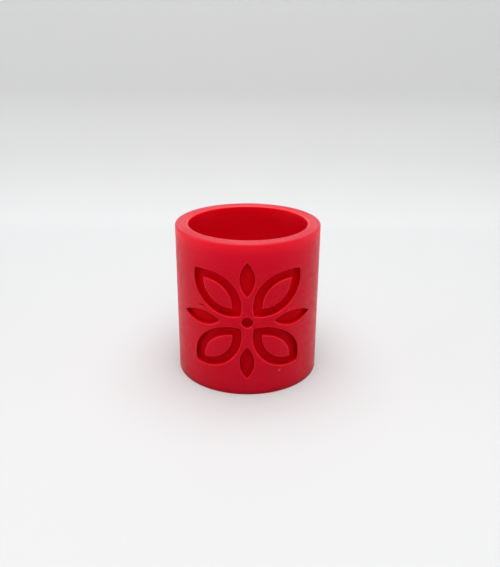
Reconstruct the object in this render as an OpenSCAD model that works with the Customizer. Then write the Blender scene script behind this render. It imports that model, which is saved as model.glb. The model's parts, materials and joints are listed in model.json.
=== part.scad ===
// Neckerchief slide: a short plain tube, open at both ends, that the two rolled
// tails of a neckerchief are pushed through. It stands upright on its flat base,
// with its middle on the Z axis, and a leaf rosette is carved into its front wall,
// which faces -Y.

/* [Tube] */
// Outer diameter of the tube
outer_d = 28; // [26:0.5:40]
// Thickness of the tube's wall
wall = 2.5; // [2:0.1:4]
// Height of the tube
height = 30; // [26:0.5:45]
// Radius of the rounded outer edge of the top rim
rim_round = 0.3; // [0.1:0.1:0.8]

/* [Carved rosette] */
// Depth of the carving below the outer surface
carve_depth = 1; // [0.4:0.1:1.2]
// Width of the rosette, from tip to tip of its small leaves
rosette_d = 23.2; // [14:0.2:23.2]
// Width of the line that is cut round each large leaf
line_w = 1.7; // [0.8:0.1:1.7]

/* [Hidden] */
$fn = 96;

outer_r = outer_d / 2;
bore_r = outer_r - wall;
carve_floor_r = outer_r - carve_depth;
rosette_r = rosette_d / 2;
rosette_z = height / 2;
// A cutter runs this far past the surface that it cuts
overrun = 1;

// The leaves grow out from the rosette's middle, at these shares of its radius
leaf_count = 4;
leaf_step = 360 / leaf_count;
large_leaf_base = 0.15 * rosette_r;
large_leaf_tip = 1.15 * rosette_r;
large_leaf_w = 0.57 * rosette_r;
small_leaf_base = 0.43 * rosette_r;
small_leaf_w = 0.24 * rosette_r;
eye_r = 0.09 * rosette_r;

// Half of the wall's section, with its outer top corner rounded
module wall_section() {
    translate([bore_r, 0]) square([wall, height - rim_round]);
    translate([bore_r, 0]) square([wall - rim_round, height]);
    translate([outer_r - rim_round, height - rim_round]) circle(r = rim_round);
}

module tube() {
    rotate_extrude() wall_section();
}

// A leaf pointed at both ends, between two arcs. It lies along X from base to tip,
// and inset draws it that much smaller all round.
module leaf(base, tip, width, inset = 0) {
    length = tip - base;
    arc_r = (length * length + width * width) / (4 * width);
    translate([(base + tip) / 2, 0]) intersection() {
        translate([0, arc_r - width / 2]) circle(r = arc_r - inset);
        translate([0, width / 2 - arc_r]) circle(r = arc_r - inset);
    }
}

// The line round a large leaf, which leaves the leaf's middle standing
module large_leaf_line() {
    difference() {
        leaf(large_leaf_base, large_leaf_tip, large_leaf_w);
        leaf(large_leaf_base, large_leaf_tip, large_leaf_w, line_w);
    }
}

// Large leaves on the diagonals, small ones between them and a round eye in the middle
module rosette_outline() {
    circle(r = eye_r);
    for (turn = [0 : leaf_count - 1]) {
        rotate((turn + 0.5) * leaf_step) large_leaf_line();
        rotate(turn * leaf_step) leaf(small_leaf_base, rosette_r, small_leaf_w);
    }
}

// What is carved away: the outline driven straight back into the front wall, down to
// a floor that follows the round of the tube
module rosette_cut() {
    difference() {
        translate([0, 0, rosette_z]) rotate([90, 0, 0])
            linear_extrude(height = outer_r + overrun) rosette_outline();
        translate([0, 0, -overrun]) cylinder(r = carve_floor_r, h = height + 2 * overrun);
    }
}

module slide_body() {
    color("crimson") difference() {
        tube();
        rosette_cut();
    }
}

slide_body();
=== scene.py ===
"""The looks of a printed neckerchief slide: a carved red tube that stands on a pale studio sweep.

The tube is modelled in millimetres and brought down to metres when it is whole.
"""

import json
import logging
import math
from contextlib import contextmanager
from dataclasses import dataclass
from enum import Enum
from typing import Callable, Iterator

import bmesh
import bpy
from mathutils import Matrix, Vector


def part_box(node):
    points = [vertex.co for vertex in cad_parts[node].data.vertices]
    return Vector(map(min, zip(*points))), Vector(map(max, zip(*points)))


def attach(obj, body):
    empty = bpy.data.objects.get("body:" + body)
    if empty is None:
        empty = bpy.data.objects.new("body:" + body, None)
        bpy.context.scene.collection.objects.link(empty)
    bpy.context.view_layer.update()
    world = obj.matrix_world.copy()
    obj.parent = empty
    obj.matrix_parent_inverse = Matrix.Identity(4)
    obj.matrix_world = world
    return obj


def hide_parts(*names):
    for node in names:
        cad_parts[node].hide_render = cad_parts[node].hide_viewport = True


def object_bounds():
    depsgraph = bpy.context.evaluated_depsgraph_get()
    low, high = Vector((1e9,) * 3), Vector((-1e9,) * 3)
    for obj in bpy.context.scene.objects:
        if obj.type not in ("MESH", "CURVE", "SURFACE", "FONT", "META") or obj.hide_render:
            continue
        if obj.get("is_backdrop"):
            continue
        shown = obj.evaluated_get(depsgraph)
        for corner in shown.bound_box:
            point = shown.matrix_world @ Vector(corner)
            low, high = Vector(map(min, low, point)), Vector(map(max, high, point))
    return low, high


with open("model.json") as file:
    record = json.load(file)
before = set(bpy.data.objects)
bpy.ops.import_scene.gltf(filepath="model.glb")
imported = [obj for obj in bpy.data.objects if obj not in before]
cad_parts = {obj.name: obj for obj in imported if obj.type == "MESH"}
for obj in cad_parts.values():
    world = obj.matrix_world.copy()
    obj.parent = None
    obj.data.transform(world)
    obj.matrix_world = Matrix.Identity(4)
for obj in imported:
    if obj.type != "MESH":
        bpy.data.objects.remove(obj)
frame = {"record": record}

LOG = logging.getLogger("neckerchief_slide")

MM = 0.001
NODE = "slide_body"
BODY = "root"
ORIGIN = (0.0, 0.0, 0.0)
UP = (0.0, 0.0, 1.0)
# Spin turns a point clockwise about this axis as it is seen from the front
CLOCKWISE = (0.0, -1.0, 0.0)
WHITE = (1.0, 1.0, 1.0, 1.0)
# Turns what is drawn on the floor so that it stands and faces the front
UPRIGHT = (math.radians(90.0), 0.0, 0.0)
# Two points closer than this are one point, in millimetres
WELD = 0.002
# A cut that passes a point closer than this goes through it, in millimetres
ON_CUT = 0.0005
# Two places closer than this count as the same place, in millimetres
NEAR = 0.01

Colour = tuple[float, float, float]
Triple = tuple[float, float, float]
Span = tuple[float, float]
Socket = bpy.types.NodeSocket
# Says of a vertex, an edge or a face whether it is selected
Test = Callable[..., bool]
Pick = Callable[[Test], None]


class Select(Enum):
    """What is selected in a mesh that is being edited."""

    VERT = "its vertices"
    EDGE = "its edges"
    FACE = "its faces"


class Change(Enum):
    """What a tool does to a piece."""

    CARVES = "DIFFERENCE"
    ADDS = "UNION"


def deselect_all() -> None:
    """Goes back to object mode with nothing selected."""
    if bpy.context.mode != "OBJECT":
        bpy.ops.object.mode_set(mode="OBJECT")
    bpy.ops.object.select_all(action="DESELECT")


def work_on(piece: bpy.types.Object, *others: bpy.types.Object) -> None:
    """Selects these objects alone.

    Args:
        piece: the object that becomes the active one.
        others: objects that are selected with it.
    """
    deselect_all()
    for chosen in (piece, *others):
        chosen.select_set(True)
    bpy.context.view_layer.objects.active = piece


@contextmanager
def editing(piece: bpy.types.Object, mode: Select = Select.FACE) -> Iterator[Pick]:
    """Opens a mesh for editing with all of it selected, and closes it again.

    Args:
        piece: the mesh object to edit.
        mode: what is selected in it.

    Yields:
        A function that selects what passes a test and nothing else.
    """

    def pick(wanted: Test) -> None:
        """Selects what passes a test and nothing else.

        Args:
            wanted: the test.
        """
        bpy.ops.mesh.select_all(action="DESELECT")
        mesh = bmesh.from_edit_mesh(piece.data)
        lists = {Select.VERT: mesh.verts, Select.EDGE: mesh.edges, Select.FACE: mesh.faces}
        for element in lists[mode]:
            element.select_set(wanted(element))
        bmesh.update_edit_mesh(piece.data)

    work_on(piece)
    bpy.ops.object.mode_set(mode="EDIT")
    bpy.ops.mesh.select_mode(type=mode.name)
    bpy.ops.mesh.select_all(action="SELECT")
    yield pick
    bpy.ops.object.mode_set(mode="OBJECT")


def joined(name: str, pieces: list[bpy.types.Object]) -> bpy.types.Object:
    """Joins meshes into one object.

    Args:
        name: the new object's name.
        pieces: the meshes, of which the first one stays.

    Returns:
        The joined object.
    """
    work_on(*pieces)
    if len(pieces) > 1:
        bpy.ops.object.join()
    pieces[0].name = name
    return pieces[0]


def change_with(piece: bpy.types.Object, tool: bpy.types.Object, change: Change) -> None:
    """Carves a piece with a tool or adds the tool to it, and throws the tool away.

    Args:
        piece: the mesh that is changed.
        tool: the closed mesh that it is changed with.
        change: what the tool does.
    """
    boolean = piece.modifiers.new("change", "BOOLEAN")
    boolean.object = tool
    boolean.operation = change.value
    boolean.solver = "EXACT"
    work_on(piece)
    bpy.ops.object.modifier_apply(modifier=boolean.name)
    bpy.data.objects.remove(tool)


class LeafKind(Enum):
    """How a leaf is carved."""

    LINE = "a line round a leaf whose middle stays"
    POCKET = "the whole leaf cut away"


@dataclass(frozen=True)
class Leaf:
    """A leaf pointed at both ends, between two arcs. It lies along X on the rosette's plane."""

    kind: LeafKind
    base: float
    tip: float
    width: float
    line: float = 0.0
    arc_steps: int = 32

    def outline(self, inset: float = 0.0) -> bpy.types.Object:
        """Spins a point from the base over to the tip and back underneath.

        Args:
            inset: how much smaller the leaf is drawn all round.

        Returns:
            A closed loop of edges.
        """
        length = self.tip - self.base
        radius = (length * length + self.width * self.width) / (4.0 * self.width)
        centre_drop = radius - self.width / 2.0
        middle = (self.base + self.tip) / 2.0
        arc_radius = radius - inset
        half_turn = math.acos(centre_drop / arc_radius)
        start = middle - arc_radius * math.sin(half_turn)
        deselect_all()
        bpy.ops.mesh.primitive_plane_add(size=1.0, location=(start, 0.0, 0.0))
        loop = bpy.context.object
        bpy.ops.object.transform_apply(location=True)
        with editing(loop, Select.VERT):
            bpy.ops.mesh.merge(type="CENTER")
            for centre_z in (-centre_drop, centre_drop):
                bpy.ops.mesh.spin(
                    steps=self.arc_steps,
                    angle=2.0 * half_turn,
                    center=(middle, 0.0, centre_z),
                    axis=CLOCKWISE,
                )
            bpy.ops.mesh.select_all(action="SELECT")
            bpy.ops.mesh.remove_doubles(threshold=WELD)
        return loop

    def cutter(self, front: float, back: float) -> bpy.types.Object:
        """Makes the block that carves this leaf.

        Args:
            front: Y where the block starts.
            back: Y where it ends, which is the carving's floor.

        Returns:
            A closed mesh along X, with the rosette's middle at the origin.
        """
        loops = [self.outline()]
        if self.kind is LeafKind.LINE:
            loops.append(self.outline(self.line))
        block = joined("leaf_cutter", loops)
        with editing(block, Select.EDGE):
            if self.kind is LeafKind.LINE:
                bpy.ops.mesh.bridge_edge_loops()
            else:
                bpy.ops.mesh.edge_face_add()
        extrude_back(block, front, back)
        return block


def extrude_back(block: bpy.types.Object, front: float, back: float) -> None:
    """Moves a flat outline to its front and extrudes it into a closed block.

    Args:
        block: the flat mesh, drawn at Y = 0.
        front: Y of the block's front.
        back: Y of its back.
    """
    with editing(block):
        bpy.ops.transform.translate(value=(0.0, front, 0.0))
        bpy.ops.mesh.extrude_region_move(
            TRANSFORM_OT_translate={"value": (0.0, back - front, 0.0)}
        )
        bpy.ops.mesh.select_all(action="SELECT")
        bpy.ops.mesh.normals_make_consistent(inside=False)


def copy_turned(piece: bpy.types.Object, degrees: float) -> bpy.types.Object:
    """Copies a piece and turns the copy about the rosette's middle.

    Args:
        piece: the piece to copy, drawn round the origin.
        degrees: the turn about Y.

    Returns:
        The copy, with a mesh of its own.
    """
    work_on(piece)
    bpy.ops.object.duplicate()
    copy = bpy.context.object
    with editing(copy):
        bpy.ops.transform.rotate(
            value=math.radians(degrees), orient_axis="Y", center_override=ORIGIN
        )
    return copy


@dataclass(frozen=True)
class PrintMark:
    """A small fault of the print on the front wall, at its place and size in millimetres.

    Its relief is above zero if it stands proud, and below zero if it is pressed in.
    """

    x: float
    z: float
    width: float
    height: float
    relief: float


@dataclass
class TubeWall:
    """The plain tube: its bore, outer wall, printed rim and base, in millimetres."""

    outer_radius: float
    bore_radius: float
    height: float
    steps: int = 240
    rim_lines: int = 6
    rim_groove_width: float = 0.16
    rim_groove_depth: float = 0.06
    rim_outer_round: float = 0.3
    rim_inner_round: float = 0.35
    base_round: float = 0.12
    corner_segments: int = 5

    @property
    def wall(self) -> float:
        """The wall's thickness."""
        return self.outer_radius - self.bore_radius

    def section(self) -> bpy.types.Object:
        """Draws the wall's section on the XZ plane: a tall strip with printed lines along its top.

        Returns:
            A closed loop of edges.
        """
        deselect_all()
        middle = ((self.outer_radius + self.bore_radius) / 2.0, 0.0, self.height / 2.0)
        bpy.ops.mesh.primitive_plane_add(size=1.0, location=middle, rotation=UPRIGHT)
        strip = bpy.context.object
        strip.scale = (self.wall, self.height, 1.0)
        bpy.ops.object.transform_apply()
        with editing(strip, Select.EDGE) as pick:
            pick(lambda e: all(v.co.z > self.height - NEAR for v in e.verts))
            bpy.ops.mesh.subdivide(number_cuts=self.rim_lines - 1)
        self.groove_rim(strip)
        for x, z, radius in (
            (self.outer_radius, self.height, self.rim_outer_round),
            (self.bore_radius, self.height, self.rim_inner_round),
            (self.outer_radius, 0.0, self.base_round),
            (self.bore_radius, 0.0, self.base_round),
        ):
            self.round_corner(strip, x, z, radius)
        with editing(strip):
            bpy.ops.mesh.delete(type="ONLY_FACE")
        return strip

    def groove_rim(self, strip: bpy.types.Object) -> None:
        """Presses a fine groove between each two printed lines of the rim.

        Args:
            strip: the section.
        """
        pitch = self.wall / self.rim_lines
        borders = [self.bore_radius + pitch * count for count in range(1, self.rim_lines)]

        def at_border(vert: bmesh.types.BMVert) -> bool:
            """Says whether a point lies between two printed lines."""
            on_top = vert.co.z > self.height - NEAR
            return on_top and any(abs(vert.co.x - x) < NEAR for x in borders)

        with editing(strip, Select.VERT) as pick:
            pick(at_border)
            # Two segments leave a point on the border itself, and that one is pressed down
            bpy.ops.mesh.bevel(
                offset=self.rim_groove_width / 2.0, segments=2, affect="VERTICES"
            )
            pick(at_border)
            bpy.ops.transform.translate(value=(0.0, 0.0, -self.rim_groove_depth))

    def round_corner(self, strip: bpy.types.Object, x: float, z: float, radius: float) -> None:
        """Rounds one corner of the section.

        Args:
            strip: the section.
            x: the corner's X.
            z: the corner's Z.
            radius: the radius that it is rounded to.
        """
        with editing(strip, Select.VERT) as pick:
            pick(lambda v: (v.co - Vector((x, 0.0, z))).length < NEAR)
            bpy.ops.mesh.bevel(
                offset=radius, segments=self.corner_segments, affect="VERTICES"
            )

    def build(self) -> bpy.types.Object:
        """Spins the section round into the closed tube.

        Returns:
            The tube, with its front wall still plain.
        """
        tube = self.section()
        tube.name = "tube"
        with editing(tube, Select.VERT):
            bpy.ops.mesh.spin(steps=self.steps, angle=math.tau, center=ORIGIN, axis=UP)
            bpy.ops.mesh.select_all(action="SELECT")
            bpy.ops.mesh.remove_doubles(threshold=WELD)
            bpy.ops.mesh.normals_make_consistent(inside=False)
        return tube

    def open_front(self, tube: bpy.types.Object, half_width: float) -> None:
        """Takes out the outer wall's faces where the carved front goes.

        Args:
            tube: the closed tube.
            half_width: half of the opening's width, measured along X.
        """
        least_tall = self.height / 2.0

        def in_the_way(face: bmesh.types.BMFace) -> bool:
            """Looks for the outer wall's tall faces within the opening.

            Args:
                face: a face of the tube.

            Returns:
                Whether it is one of them.
            """
            place = face.calc_center_median()
            outside = place.xy.length > (self.outer_radius + self.bore_radius) / 2.0
            tall = max(v.co.z for v in face.verts) - min(v.co.z for v in face.verts) > least_tall
            return outside and tall and place.y < 0.0 and abs(place.x) < half_width

        with editing(tube) as pick:
            pick(in_the_way)
            bpy.ops.mesh.delete(type="FACE")


@dataclass
class CarvedFront:
    """The front of the outer wall with the rosette in it, in millimetres.

    It is drawn flat, a tube radius in front of the axis, carved there with its lips rounded,
    and then pressed straight back round the tube. So the carving's walls run straight back,
    and its floor follows the round of the tube.
    """

    tube: TubeWall
    depth: float = 1.0
    rosette_radius: float = 11.6
    line: float = 1.7
    lip_round: float = 0.16
    lip_segments: int = 4
    # How many of the tube's faces the panel spans to either side of the middle
    half_columns: int = 40
    # The flat panel's thickness, before its back is thrown away
    panel_thickness: float = 3.0
    leaf_count: int = 4
    # The base, tip and width of the leaves and the eye's radius, as shares of the rosette's radius
    large_leaf: Triple = (0.15, 1.15, 0.57)
    small_leaf: Triple = (0.43, 1.0, 0.24)
    eye: float = 0.09
    small_leaf_steps: int = 20
    eye_sides: int = 40
    # How far in front of the panel the cutters start
    overrun: float = 1.0
    # A nick at the left, and a tiny blob low on the right
    marks: tuple[PrintMark, ...] = (
        PrintMark(x=-8.3, z=17.37, width=1.2, height=0.36, relief=-0.4),
        PrintMark(x=6.07, z=4.6, width=0.5, height=0.5, relief=0.25),
    )
    mark_sides: int = 24
    mark_rings: int = 12

    @property
    def column_step(self) -> float:
        """The turn between two of the tube's vertical edges, in radians."""
        return math.tau / self.tube.steps

    @property
    def half_width(self) -> float:
        """Half of the panel's width: its sides fall on two of the tube's vertical edges."""
        return self.tube.outer_radius * math.sin(self.half_columns * self.column_step)

    @property
    def front(self) -> float:
        """Y of the flat panel's front."""
        return -self.tube.outer_radius

    def on_front(self, face: bmesh.types.BMFace) -> bool:
        """Says whether a face lies on the flat panel's front."""
        return all(abs(v.co.y - self.front) < WELD for v in face.verts)

    def inside(self, vert: bmesh.types.BMVert) -> bool:
        """Says whether a vertex lies within the panel's own borders."""
        low, high = self.tube.base_round, self.tube.height - self.tube.rim_outer_round
        return abs(vert.co.x) < self.half_width - NEAR and low + NEAR < vert.co.z < high - NEAR

    def rosette(self) -> bpy.types.Object:
        """Makes what carves the rosette: large leaves on the diagonals, small ones between.

        Returns:
            One mesh of all the cutters.
        """
        reach = self.rosette_radius
        step = 360.0 / self.leaf_count
        clear, floor = self.front - self.overrun, self.front + self.depth
        large = Leaf(LeafKind.LINE, *(share * reach for share in self.large_leaf), self.line)
        small = Leaf(
            LeafKind.POCKET,
            *(share * reach for share in self.small_leaf),
            arc_steps=self.small_leaf_steps,
        )
        cutters = []
        for leaf, first_turn in ((large, 0.5 * step), (small, 0.0)):
            block = leaf.cutter(clear, floor)
            for turn in range(self.leaf_count):
                cutters.append(copy_turned(block, first_turn + turn * step))
            bpy.data.objects.remove(block)
        deselect_all()
        bpy.ops.mesh.primitive_circle_add(
            vertices=self.eye_sides,
            radius=self.eye * reach,
            fill_type="NGON",
            rotation=UPRIGHT,
        )
        eye = bpy.context.object
        bpy.ops.object.transform_apply()
        extrude_back(eye, clear, floor)
        carver = joined("rosette_cutter", [*cutters, eye])
        with editing(carver):
            bpy.ops.transform.translate(value=(0.0, 0.0, self.tube.height / 2.0))
        return carver

    def flat_panel(self) -> bpy.types.Object:
        """Makes the flat block that is carved, as wide and tall as the opening in the tube.

        Returns:
            A closed block, whose front is still plain.
        """
        low, high = self.tube.base_round, self.tube.height - self.tube.rim_outer_round
        deselect_all()
        bpy.ops.mesh.primitive_cube_add(
            size=1.0,
            location=(0.0, self.front + self.panel_thickness / 2.0, (low + high) / 2.0),
            scale=(2.0 * self.half_width, self.panel_thickness, high - low),
        )
        panel = bpy.context.object
        panel.name = "carved_front"
        bpy.ops.object.transform_apply()
        return panel

    def round_lips(self, panel: bpy.types.Object) -> None:
        """Rounds the carving's lips.

        Args:
            panel: the carved panel, which is still flat.
        """

        def is_lip(edge: bmesh.types.BMEdge) -> bool:
            """Says whether an edge runs between the front and the carving's walls."""
            sides = [self.on_front(face) for face in edge.link_faces]
            return sorted(sides) == [False, True] and all(self.inside(v) for v in edge.verts)

        with editing(panel, Select.EDGE) as pick:
            pick(is_lip)
            bpy.ops.mesh.bevel(
                offset=self.lip_round,
                segments=self.lip_segments,
                loop_slide=False,
                clamp_overlap=False,
            )

    def add_marks(self, panel: bpy.types.Object) -> None:
        """Adds the print's small faults.

        Args:
            panel: the carved panel, which is still flat.
        """
        for mark in self.marks:
            deselect_all()
            # A ball that is one millimetre across, drawn out to the mark's size
            bpy.ops.mesh.primitive_uv_sphere_add(
                segments=self.mark_sides,
                ring_count=self.mark_rings,
                radius=0.5,
                location=(mark.x, self.front, mark.z),
                scale=(mark.width, 2.0 * abs(mark.relief), mark.height),
            )
            tool = bpy.context.object
            bpy.ops.object.transform_apply()
            change_with(panel, tool, Change.ADDS if mark.relief > 0.0 else Change.CARVES)

    def keep_front(self, panel: bpy.types.Object) -> None:
        """Throws away the flat block's back and sides, and keeps its carved front.

        Args:
            panel: the carved panel, which is still flat.
        """

        def behind(face: bmesh.types.BMFace) -> bool:
            """Looks for the block's back and sides.

            Args:
                face: a face of the panel.

            Returns:
                Whether it belongs to them.
            """
            place = face.calc_center_median()
            too_deep = place.y > self.front + self.depth + NEAR
            on_border = not any(self.inside(v) for v in face.verts) and not self.on_front(face)
            return too_deep or on_border

        with editing(panel) as pick:
            pick(behind)
            bpy.ops.mesh.delete(type="FACE")

    def press_round(self, panel: bpy.types.Object) -> None:
        """Cuts the flat panel at the tube's vertical edges and presses it round the tube.

        A point that is drawn some way in front of the axis ends that far from the axis, at
        the same X and Z.

        Args:
            panel: the carved panel, without its back and sides.
        """
        with editing(panel):
            for column in range(1 - self.half_columns, self.half_columns):
                x = self.tube.outer_radius * math.sin(column * self.column_step)
                bpy.ops.mesh.select_all(action="SELECT")
                bpy.ops.mesh.bisect(
                    plane_co=(x, 0.0, 0.0), plane_no=(1.0, 0.0, 0.0), threshold=ON_CUT
                )
        for vertex in panel.data.vertices:
            vertex.co.y = -math.sqrt(vertex.co.y**2 - vertex.co.x**2)

    def build(self) -> bpy.types.Object:
        """Carves the panel flat and presses it round.

        Returns:
            The open skin that closes the opening in the tube's front.
        """
        panel = self.flat_panel()
        change_with(panel, self.rosette(), Change.CARVES)
        self.round_lips(panel)
        self.add_marks(panel)
        self.keep_front(panel)
        self.press_round(panel)
        return panel


@dataclass(frozen=True)
class Patches:
    """How uneven patches are laid out.

    The scale counts patches to the unit of place, the detail is how many finer steps they
    have, and the spread is how far from its middle the noise reaches an end value.
    """

    scale: float
    detail: float
    spread: float


class Nodes:
    """Adds nodes to a shader tree and links them."""

    def __init__(self, tree: bpy.types.NodeTree) -> None:
        """Starts on a node tree, which is cleared."""
        self.tree = tree
        tree.nodes.clear()

    def add(self, kind: str, **settings: object) -> bpy.types.Node:
        """Adds a node.

        Args:
            kind: the node's type, without the ShaderNode in front of it.
            settings: the node's own properties.

        Returns:
            The node.
        """
        node = self.tree.nodes.new(f"ShaderNode{kind}")
        for name, value in settings.items():
            setattr(node, name, value)
        return node

    def feed(self, socket: Socket, value: object) -> None:
        """Links a socket to another one, or sets it to a plain value.

        Args:
            socket: the socket that is fed.
            value: an output socket, or a value of the fed socket's own kind.
        """
        if isinstance(value, Socket):
            self.tree.links.new(value, socket)
        else:
            socket.default_value = value

    def math(self, operation: str, *values: object) -> Socket:
        """Adds a Math node.

        Args:
            operation: the node's operation.
            values: a socket or a number for each input.

        Returns:
            The result.
        """
        node = self.add("Math", operation=operation)
        for socket, value in zip(node.inputs, values):
            self.feed(socket, value)
        return node.outputs[0]

    def noise(self, place: Socket, scale: float, detail: float) -> Socket:
        """Adds soft noise.

        Args:
            place: the place that it is read at.
            scale: patches to the unit of that place.
            detail: how many finer steps it has.

        Returns:
            The noise, from 0 to 1 and mostly near 0.5.
        """
        node = self.add("TexNoise", noise_dimensions="3D")
        self.feed(node.inputs["Vector"], place)
        self.feed(node.inputs["Scale"], scale)
        self.feed(node.inputs["Detail"], detail)
        return node.outputs["Fac"]

    def patches(self, place: Socket, layout: Patches, ends: Span = (0.0, 1.0)) -> Socket:
        """Adds noise at a place that is drawn out from one end value to the other."""
        noise = self.noise(place, layout.scale, layout.detail)
        return self.ramp(noise, 0.5 - layout.spread, 0.5 + layout.spread, *ends)

    def mix(self, share: Socket, first: object, second: object) -> Socket:
        """Mixes two colours, each a socket or three numbers.

        Args:
            share: how much of the second colour there is.
            first: the first colour.
            second: the second colour.

        Returns:
            The mixed colour.
        """
        node = self.add("Mix", data_type="RGBA")
        node_inputs = [socket for socket in node.inputs if socket.enabled]
        for socket, value in zip(node_inputs, (share, first, second)):
            self.feed(socket, (*value, 1.0) if isinstance(value, tuple) else value)
        return next(socket for socket in node.outputs if socket.enabled)

    def ramp(self, value: Socket, start: float, end: float, low: float, high: float) -> Socket:
        """Adds a smooth Map Range.

        Args:
            value: the value that it reads.
            start: the value where it begins.
            end: the value where it is full.
            low: what it gives up to the start.
            high: what it gives from the end on.

        Returns:
            The mapped value.
        """
        node = self.add("MapRange", interpolation_type="SMOOTHSTEP")
        for socket, number in zip(node.inputs, (value, start, end, low, high)):
            self.feed(socket, number)
        return node.outputs[0]


class Lines(Enum):
    """Which way the printed lines of a surface run."""

    LAYERS = "stacked up the wall"
    RINGS = "side by side across the rim and the base"


@dataclass(frozen=True)
class Where:
    """The measures of a place on the slide that its finishes vary by, in millimetres.

    They are how far to either side of the middle it lies, its height over the base, how far
    outside the bore it is and how deep below the outer skin.
    """

    aside: Socket
    height: Socket
    from_bore: Socket
    depth: Socket


@dataclass(frozen=True)
class PrintedPlastic:
    """Red plastic laid down in fine lines: satin, a little clear, with its lines showing and
    painted shade between them.

    Lengths are in millimetres, and scales count patches to the millimetre.
    """

    tube: TubeWall
    pitch: float
    name: str
    lines: Lines = Lines.LAYERS
    colour: Colour = (0.61, 0.0006, 0.017)
    shade: Colour = (0.54, 0.0003, 0.014)
    # The colour of painted shade, in the valleys between beads and towards the foot
    painted_shade: Colour = (0.28, 0.0, 0.004)
    valley_share: float = 0.35
    # A painted highlight, on a blob of the walls and round the bore on the rim
    edge: Colour = (0.66, 0.045, 0.06)
    # The higher this is, the narrower is the painted shade between two beads
    valley_power: float = 2.0
    # The tint's patches are drawn up the wall, and each line strays slowly along its way
    tint_patches: Patches = Patches(scale=0.45, detail=2.0, spread=0.15)
    tint_squash: Triple = (1.0, 1.0, 0.1)
    stray_patches: Patches = Patches(scale=1.0, detail=1.0, spread=0.25)
    stray_drift: Triple = (0.06, 0.06, 0.0)
    stray_step: float = 0.61
    bead_relief: float = 0.02
    stray_relief: float = 0.03
    mottle_scale: float = 1.6
    mottle_detail: float = 3.0
    mottle_relief: float = 0.008
    # Below 0.28 the denoiser takes the gloss for a pattern of its own and leaves flecks
    roughness: Span = (0.28, 0.40)
    rough_patches: Patches = Patches(scale=0.9, detail=2.0, spread=0.2)
    gloss: float = 1.18
    glow_weight: float = 0.6
    glow_depth: float = 1.8
    glow_radius: Triple = (1.0, 0.1, 0.1)
    # How far up the painted shade at the foot reaches, and how strong it is at the base
    foot_shade: tuple[Span, ...] = ((12.0, 0.18), (1.8, 0.7))

    def where(self, nodes: Nodes, place: Socket) -> Where:
        """Measures a place on the slide.

        Args:
            nodes: the tree to add to.
            place: the place on the object.

        Returns:
            Its measures.
        """
        axes = nodes.add("SeparateXYZ")
        nodes.feed(axes.inputs[0], place)
        squares = [nodes.math("POWER", axes.outputs[axis], 2.0) for axis in "XY"]
        radius = nodes.math("SQRT", nodes.math("ADD", *squares))
        return Where(
            aside=nodes.math("ABSOLUTE", axes.outputs["X"]),
            height=axes.outputs["Z"],
            from_bore=nodes.math("SUBTRACT", radius, self.tube.bore_radius),
            depth=nodes.math("SUBTRACT", self.tube.outer_radius, radius),
        )

    def lines_passed(self, nodes: Nodes, where: Where) -> Socket:
        """Counts the printed lines from the base up, or from the bore outwards."""
        start = where.height if self.lines is Lines.LAYERS else where.from_bore
        return nodes.math("DIVIDE", start, self.pitch)

    def stray(self, nodes: Nodes, place: Socket, passed: Socket) -> Socket:
        """Works out how far each printed line strays, which drifts slowly along the line.

        Args:
            nodes: the tree to add to.
            place: the place on the object.
            passed: the count of lines up to the place.

        Returns:
            A number from 0 to 1, with its own value on each line.
        """
        number = nodes.add("CombineXYZ")
        line = nodes.math("FLOOR", passed)
        nodes.feed(number.inputs["Z"], nodes.math("MULTIPLY", line, self.stray_step))
        drift = nodes.add("VectorMath", operation="MULTIPLY_ADD")
        for socket, value in zip(drift.inputs, (place, self.stray_drift, number.outputs[0])):
            nodes.feed(socket, value)
        return nodes.patches(drift.outputs[0], self.stray_patches)

    def by_place(self, nodes: Nodes, tint: Socket, where: Where) -> Socket:
        """Leaves the tint as it is. Finishes that vary over the slide change it here."""
        return tint

    def towards_foot_shade(self, nodes: Nodes, tint: Socket, where: Where) -> Socket:
        """Darkens the tint towards the foot: painted shade."""
        shares = [nodes.ramp(where.height, 0.0, reach, share, 0.0) for reach, share in self.foot_shade]
        return nodes.mix(nodes.math("MAXIMUM", *shares), tint, self.painted_shade)

    def material(self) -> bpy.types.Material:
        """Makes the material.

        Returns:
            The material, all of it worked out from the place on the object.
        """
        material = bpy.data.materials.new(self.name)
        material.use_nodes = True
        nodes = Nodes(material.node_tree)
        in_mm = nodes.add("VectorMath", operation="SCALE")
        nodes.feed(in_mm.inputs[0], nodes.add("TexCoord").outputs["Object"])
        nodes.feed(in_mm.inputs["Scale"], 1.0 / MM)
        place = in_mm.outputs[0]
        where = self.where(nodes, place)
        passed = self.lines_passed(nodes, where)
        stray = self.stray(nodes, place, passed)
        # A line's bead falls away from 0 on its crest to 1 where it meets the next line
        off_crest = nodes.math("SUBTRACT", nodes.math("FRACT", passed), 0.5)
        fall = nodes.math("MULTIPLY", nodes.math("POWER", off_crest, 2.0), 4.0)

        # Half of the shade is from the patches, and half is each line's own
        drawn_up = nodes.add("VectorMath", operation="MULTIPLY")
        nodes.feed(drawn_up.inputs[0], place)
        nodes.feed(drawn_up.inputs[1], self.tint_squash)
        patches = nodes.patches(drawn_up.outputs[0], self.tint_patches)
        shaded = nodes.math("MULTIPLY", nodes.math("ADD", patches, stray), 0.5)
        # Painted shade darkens the valley between two beads
        painted_shade = nodes.math("POWER", fall, self.valley_power)
        in_valley = nodes.math("MULTIPLY", painted_shade, self.valley_share)
        tint = nodes.mix(in_valley, nodes.mix(shaded, self.colour, self.shade), self.painted_shade)

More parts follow.
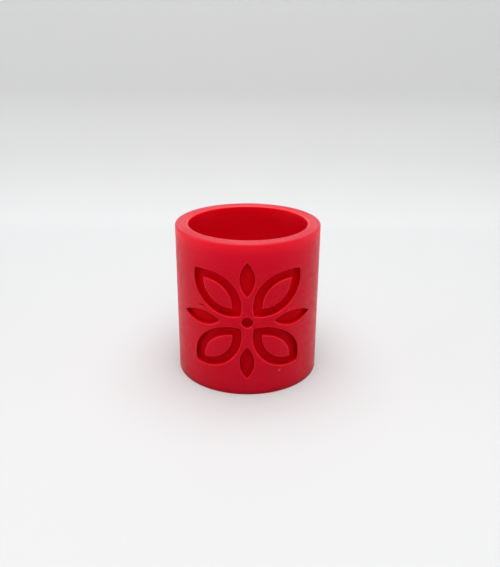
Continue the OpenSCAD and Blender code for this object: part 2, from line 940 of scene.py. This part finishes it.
        bead = nodes.math("MULTIPLY", fall, -self.bead_relief)
        shift = nodes.math("MULTIPLY", stray, self.stray_relief)
        mottle = nodes.noise(place, self.mottle_scale, self.mottle_detail)
        mottled = nodes.math("MULTIPLY", mottle, self.mottle_relief)
        bump = nodes.add("Bump")
        bump.inputs["Strength"].default_value = 1.0
        bump.inputs["Distance"].default_value = MM
        relief = nodes.math("ADD", nodes.math("ADD", bead, shift), mottled)
        nodes.feed(bump.inputs["Height"], relief)

        shader = nodes.add("BsdfPrincipled")
        nodes.feed(shader.inputs["Base Color"], self.by_place(nodes, tint, where))
        roughness = nodes.patches(place, self.rough_patches, self.roughness)
        nodes.feed(shader.inputs["Roughness"], roughness)
        nodes.feed(shader.inputs["Normal"], bump.outputs[0])
        shader.inputs["IOR"].default_value = self.gloss
        shader.inputs["Subsurface Weight"].default_value = self.glow_weight
        shader.inputs["Subsurface Radius"].default_value = self.glow_radius
        shader.inputs["Subsurface Scale"].default_value = self.glow_depth * MM
        output = nodes.add("OutputMaterial")
        nodes.feed(output.inputs["Surface"], shader.outputs[0])
        return material


@dataclass(frozen=True)
class PrintedWalls(PrintedPlastic):
    """The walls, printed in layers.

    They carry painted light: a painted glow under the rim, where light comes through, a
    painted highlight on the carving's lips and on a blob, and a lighter, purer red inside the
    bore that is painted light too. Painted shade darkens them towards the foot.
    """

    name: str = "printed_red_walls"
    # A lighter, purer red inside the bore: painted light
    bore: Colour = (0.71, 0.0003, 0.010)
    lip_highlight: Colour = (0.66, 0.016, 0.031)
    # How far down from the outer skin the outside reaches; below it lies the bore's painted light
    outside: float = 1.5
    # How far down the lips' painted highlight begins, fades and ends
    lip_highlight_depths: Triple = (0.01, 0.10, 0.16)
    # How far a blob stands proud before its painted highlight shows
    proud: float = 0.02
    # How far below the rim each painted glow reaches
    top_glows: tuple[tuple[float, Colour], ...] = (
        (8.0, (0.68, 0.0006, 0.018)),
        (3.0, (0.76, 0.007, 0.024)),
    )

    def lips(self, nodes: Nodes, where: Where) -> Socket:
        """Finds the carving's rounded lips, where a highlight is painted.

        Args:
            nodes: the tree to add to.
            where: the measures of the place.

        Returns:
            1 on a lip, else 0.
        """
        skin, fade, end = self.lip_highlight_depths
        below_skin = nodes.math("GREATER_THAN", where.depth, skin)
        return nodes.math("MULTIPLY", nodes.ramp(where.depth, fade, end, 1.0, 0.0), below_skin)

    def by_place(self, nodes: Nodes, tint: Socket, where: Where) -> Socket:
        """Paints light over the walls, and shade towards the foot.

        Args:
            nodes: the tree to add to.
            tint: the tint so far.
            where: the measures of the place.

        Returns:
            The walls' tint.
        """
        full = self.tube.height
        top_glows = [
            (nodes.ramp(where.height, full - reach, full, 0.0, 1.0), colour)
            for reach, colour in self.top_glows
        ]
        # Painted glows under the rim, painted light in the bore, and painted highlights on the
        # lips and on a blob
        for share, other in (
            *top_glows,
            (nodes.math("GREATER_THAN", where.depth, self.outside), self.bore),
            (self.lips(nodes, where), self.lip_highlight),
            (nodes.math("LESS_THAN", where.depth, -self.proud), self.edge),
        ):
            tint = nodes.mix(share, tint, other)
        return self.towards_foot_shade(nodes, tint, where)


@dataclass(frozen=True)
class PrintedCarving(PrintedPlastic):
    """The carving's own walls and floor: a purer red that catches little gloss.

    It darkens towards the foot with painted shade, and its floor has painted shade. Out at
    the sides the floor has painted light, for the light that comes through the thin edge beside
    it.
    """

    name: str = "printed_red_carving"
    colour: Colour = (0.64, 0.0, 0.006)
    shade: Colour = (0.57, 0.0, 0.005)
    # Painted shade on the carving's floor
    floor: Colour = (0.61, 0.0, 0.005)
    # Painted light on the floor out at the sides
    side: Colour = (0.96, 0.0, 0.004)
    gloss: float = 1.08
    # On the carving, painted shade reaches nearly to the rim and deepens at the foot
    foot_shade: tuple[Span, ...] = ((26.0, 0.36), (1.8, 0.7))
    # How far down from the outer skin the floor's painted shade begins and is full
    floor_shade_depths: Span = (0.88, 0.97)
    # How far from the middle, to either side, the floor's painted light begins and is full
    side_light_reach: Span = (8.0, 11.6)

    def by_place(self, nodes: Nodes, tint: Socket, where: Where) -> Socket:
        """Paints shade on the carving's floor and light at its sides, and shade towards the foot.

        Args:
            nodes: the tree to add to.
            tint: the tint so far.
            where: the measures of the place.

        Returns:
            The carving's tint.
        """
        aside = nodes.ramp(where.aside, *self.side_light_reach, 0.0, 1.0)
        floor = nodes.mix(aside, self.floor, self.side)
        floor_shade_share = nodes.ramp(where.depth, *self.floor_shade_depths, 0.0, 1.0)
        return self.towards_foot_shade(nodes, nodes.mix(floor_shade_share, tint, floor), where)


@dataclass(frozen=True)
class PrintedEnds(PrintedPlastic):
    """The rim and the base, printed in rings: smoother, with a painted highlight on the edge round
    the bore.
    """

    name: str = "printed_red_ends"
    lines: Lines = Lines.RINGS
    colour: Colour = (0.49, 0.006, 0.022)
    shade: Colour = (0.46, 0.005, 0.020)
    # Little painted shade between the rings
    valley_share: float = 0.08
    bead_relief: float = 0.006
    stray_relief: float = 0.0
    mottle_relief: float = 0.003
    roughness: Span = (0.29, 0.38)
    gloss: float = 1.3
    # How far from the bore the painted highlight is full, and where it ends
    edge_highlight_reach: Span = (0.2, 0.45)

    def by_place(self, nodes: Nodes, tint: Socket, where: Where) -> Socket:
        """Paints a highlight on the edge round the bore."""
        share = nodes.ramp(where.from_bore, *self.edge_highlight_reach, 1.0, 0.0)
        return nodes.mix(share, tint, self.edge)


class Part(Enum):
    """A part of the slide's surface that has a finish of its own."""

    WALLS = "the outer wall and the bore"
    ENDS = "the flat rim and the flat base"
    CARVING = "the carving's walls and its floor"


@dataclass
class NeckerchiefSlide:
    """The whole slide: one printed tube with a carved front."""

    tube: TubeWall
    front: CarvedFront
    layer: float = 0.2
    smooth_angle: float = 40.0
    # A face of the rim or the base looks at least this far up or down
    end_slope: float = 0.6
    # The carving's faces lie deeper than this, and those of a nick don't
    carved_from: float = 0.42

    @classmethod
    def from_frame(cls) -> "NeckerchiefSlide":
        """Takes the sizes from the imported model.

        Returns:
            A slide of the same outer size and bore.
        """
        low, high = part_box(NODE)
        bore = next(m for m in frame["record"]["mounts"] if m["kind"] == "bore")
        tube = TubeWall(
            outer_radius=(high.x - low.x) / 2.0 / MM,
            bore_radius=bore["dims"]["r_mm"],
            height=(high.z - low.z) / MM,
        )
        return cls(tube=tube, front=CarvedFront(tube=tube))

    def build(self) -> bpy.types.Object:
        """Builds the tube and its carved front, and welds them into one closed mesh.

        Returns:
            The slide, in metres.
        """
        tube = self.tube.build()
        self.tube.open_front(tube, self.front.half_width)
        slide = joined("printed_slide", [tube, self.front.build()])
        with editing(slide, Select.VERT):
            bpy.ops.mesh.remove_doubles(threshold=WELD)
            bpy.ops.mesh.normals_make_consistent(inside=False)
            bpy.ops.transform.resize(value=(MM, MM, MM), center_override=ORIGIN)
        work_on(slide)
        bpy.ops.object.shade_smooth_by_angle(angle=math.radians(self.smooth_angle))
        weighted = slide.modifiers.new("even_shading", "WEIGHTED_NORMAL")
        weighted.keep_sharp = True
        bpy.ops.object.modifier_apply(modifier=weighted.name)
        return slide

    def finishes(self) -> dict[Part, PrintedPlastic]:
        """Gives each part of the surface its finish.

        Returns:
            The finishes, in the order of the mesh's materials.
        """
        ring = self.tube.wall / self.tube.rim_lines
        return {
            Part.WALLS: PrintedWalls(self.tube, self.layer),
            Part.ENDS: PrintedEnds(self.tube, ring),
            Part.CARVING: PrintedCarving(self.tube, self.layer),
        }

    def part_of(self, face: bpy.types.MeshPolygon) -> Part:
        """Says which part of the slide's surface a face belongs to.

        Args:
            face: the face, in metres.

        Returns:
            The part.
        """
        centre = face.center / MM
        from_end = min(centre.z, self.tube.height - centre.z)
        if abs(face.normal.z) > self.end_slope and from_end < self.tube.rim_outer_round / 2.0:
            return Part.ENDS
        depth = self.tube.outer_radius - centre.xy.length
        deep = self.carved_from < depth < self.front.depth + NEAR
        if deep and from_end > self.tube.rim_inner_round:
            return Part.CARVING
        return Part.WALLS

    def dress(self, slide: bpy.types.Object) -> None:
        """Gives the slide its finishes and its place in the frame.

        Args:
            slide: the closed mesh, in metres.
        """
        slide.data.materials.clear()
        finishes = self.finishes()
        for finish in finishes.values():
            slide.data.materials.append(finish.material())
        parts = list(finishes)
        for face in slide.data.polygons:
            face.material_index = parts.index(self.part_of(face))
        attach(slide, BODY)
        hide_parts(NODE)


@dataclass(frozen=True)
class PaleSweep:
    """Matt white paper, with a trace of unevenness, and painted light that makes it lighter where
    it stands up.
    """

    name: str
    colour: Colour = (0.55, 0.554, 0.558)
    upright_light: Colour = (0.588, 0.592, 0.596)
    # The heights where the painted light on the paper begins and is full, in metres
    upright_light_heights: Span = (0.015, 0.036)
    roughness: Span = (0.7, 0.8)
    rough_patches: Patches = Patches(scale=60.0, detail=2.0, spread=0.2)

    def material(self) -> bpy.types.Material:
        """Makes the material.

        Returns:
            The material.
        """
        material = bpy.data.materials.new(self.name)
        material.use_nodes = True
        nodes = Nodes(material.node_tree)
        place = nodes.add("TexCoord").outputs["Object"]
        axes = nodes.add("SeparateXYZ")
        nodes.feed(axes.inputs[0], place)
        upright_light_share = nodes.ramp(axes.outputs["Z"], *self.upright_light_heights, 0.0, 1.0)
        shader = nodes.add("BsdfPrincipled")
        paper = nodes.mix(upright_light_share, self.colour, self.upright_light)
        nodes.feed(shader.inputs["Base Color"], paper)
        roughness = nodes.patches(place, self.rough_patches, self.roughness)
        nodes.feed(shader.inputs["Roughness"], roughness)
        output = nodes.add("OutputMaterial")
        nodes.feed(output.inputs["Surface"], shader.outputs[0])
        return material


@dataclass(frozen=True)
class SoftBox:
    """A panel of soft light, in metres, that faces the middle of the slide."""

    name: str
    place: Triple
    width: float
    height: float
    watts: float


@dataclass
class Studio:
    """The pale sweep, the soft light and the camera round the slide, in metres."""

    aim: Vector
    sweep_half_width: float = 1.5
    sweep_front: float = -1.2
    sweep_back: float = 0.135
    sweep_height: float = 0.08
    sweep_bend: float = 0.042
    bend_segments: int = 48
    # How strong the room's even light is, and how bright the room itself looks
    sky: float = 0.2
    far_wall: float = 0.75
    lights: tuple[SoftBox, ...] = (
        SoftBox("overhead", (0.0, 0.0, 0.7), 0.8, 0.8, 5.6),
        SoftBox("over_the_front", (0.0, -0.45, 0.6), 0.5, 0.5, 2.1),
        SoftBox("over_the_back", (0.0, 0.35, 0.65), 0.6, 0.6, 0.35),
        SoftBox("behind_the_sweep", (0.0, 0.5, 0.23), 0.3, 0.1, 0.3),
        SoftBox("low_left", (-0.35, -0.02, 0.07), 0.4, 0.1, 0.34),
        SoftBox("low_right", (0.35, -0.02, 0.07), 0.4, 0.1, 0.23),
        SoftBox("near_the_rim", (0.0, -0.02, 0.2), 0.12, 0.12, 0.085),
    )
    camera_place: Triple = (0.476 * MM, -120.33 * MM, 65.31 * MM)
    camera_pitch: float = 21.82
    camera_roll: float = 0.32
    focal_pixels: float = 647.3
    image_height: float = 567.0
    sensor: float = 36.0
    # The nearest and the farthest that the camera sees
    clip: Span = (0.01, 20.0)

    def sweep(self) -> bpy.types.Object:
        """Makes the floor that bends up into the backdrop.

        Returns:
            The sweep, marked as stage.
        """
        deselect_all()
        middle = (self.sweep_front + self.sweep_back) / 2.0
        bpy.ops.mesh.primitive_plane_add(size=1.0, location=(0.0, middle, 0.0))
        sweep = bpy.context.object
        sweep.name = "sweep"
        sweep.scale = (2.0 * self.sweep_half_width, self.sweep_back - self.sweep_front, 1.0)
        bpy.ops.object.transform_apply()

        def at_back(edge: bmesh.types.BMEdge) -> bool:
            """Says whether an edge lies on the floor, at its back."""
            near = NEAR * MM
            return all(v.co.y > self.sweep_back - near and v.co.z < near for v in edge.verts)

        with editing(sweep, Select.EDGE) as pick:
            pick(at_back)
            bpy.ops.mesh.extrude_region_move(
                TRANSFORM_OT_translate={"value": (0.0, 0.0, self.sweep_height)}
            )
            pick(at_back)
            bpy.ops.mesh.bevel(offset=self.sweep_bend, segments=self.bend_segments)
        bpy.ops.object.shade_smooth()
        sweep.data.materials.append(PaleSweep("sweep_paper").material())
        sweep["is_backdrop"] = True
        return sweep

    def light(self) -> None:
        """Hangs the soft boxes and sets the even light of the room."""
        for box in self.lights:
            data = bpy.data.lights.new(box.name, "AREA")
            data.shape = "RECTANGLE"
            data.size, data.size_y = box.width, box.height
            data.energy = box.watts
            lamp = bpy.data.objects.new(box.name, data)
            lamp.location = box.place
            towards = self.aim - Vector(box.place)
            lamp.rotation_euler = towards.to_track_quat("-Z", "Y").to_euler()
            bpy.context.scene.collection.objects.link(lamp)
        world = bpy.data.worlds.new("room")
        world.use_nodes = True
        nodes = Nodes(world.node_tree)
        seen = nodes.add("LightPath").outputs["Is Camera Ray"]
        room = nodes.add("Background")
        room.inputs["Color"].default_value = WHITE
        nodes.feed(room.inputs["Strength"], nodes.ramp(seen, 0.0, 1.0, self.sky, self.far_wall))
        output = nodes.add("OutputWorld")
        nodes.feed(output.inputs["Surface"], room.outputs[0])
        bpy.context.scene.world = world

    def camera(self) -> bpy.types.Object:
        """Sets up the camera as the photo was taken.

        Returns:
            The camera.
        """
        data = bpy.data.cameras.new("camera")
        data.sensor_width = self.sensor
        data.lens = self.focal_pixels / self.image_height * self.sensor
        data.clip_start, data.clip_end = self.clip
        camera = bpy.data.objects.new("camera", data)
        tilt = Matrix.Rotation(math.radians(90.0 - self.camera_pitch), 4, "X")
        roll = Matrix.Rotation(math.radians(self.camera_roll), 4, "Z")
        camera.matrix_world = Matrix.Translation(self.camera_place) @ tilt @ roll
        bpy.context.scene.collection.objects.link(camera)
        bpy.context.scene.camera = camera
        return camera

    def colours(self) -> None:
        """Shows colours plainly and cleans the grain out of the picture."""
        bpy.context.scene.view_settings.view_transform = "Standard"
        bpy.context.scene.cycles.use_denoising = True


def main() -> None:
    """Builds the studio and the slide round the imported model."""
    logging.basicConfig(level=logging.INFO, format="%(name)s: %(message)s")
    cad_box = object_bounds()
    low, high = cad_box
    studio = Studio(aim=(low + high) / 2.0)
    studio.camera()
    studio.sweep()
    studio.light()
    studio.colours()
    LOG.info("studio: sweep, %d lights and camera", len(studio.lights))

    maker = NeckerchiefSlide.from_frame()
    slide = maker.build()
    maker.dress(slide)
    LOG.info("%s: %d faces", slide.name, len(slide.data.polygons))


if __name__ == "__main__":
    main()
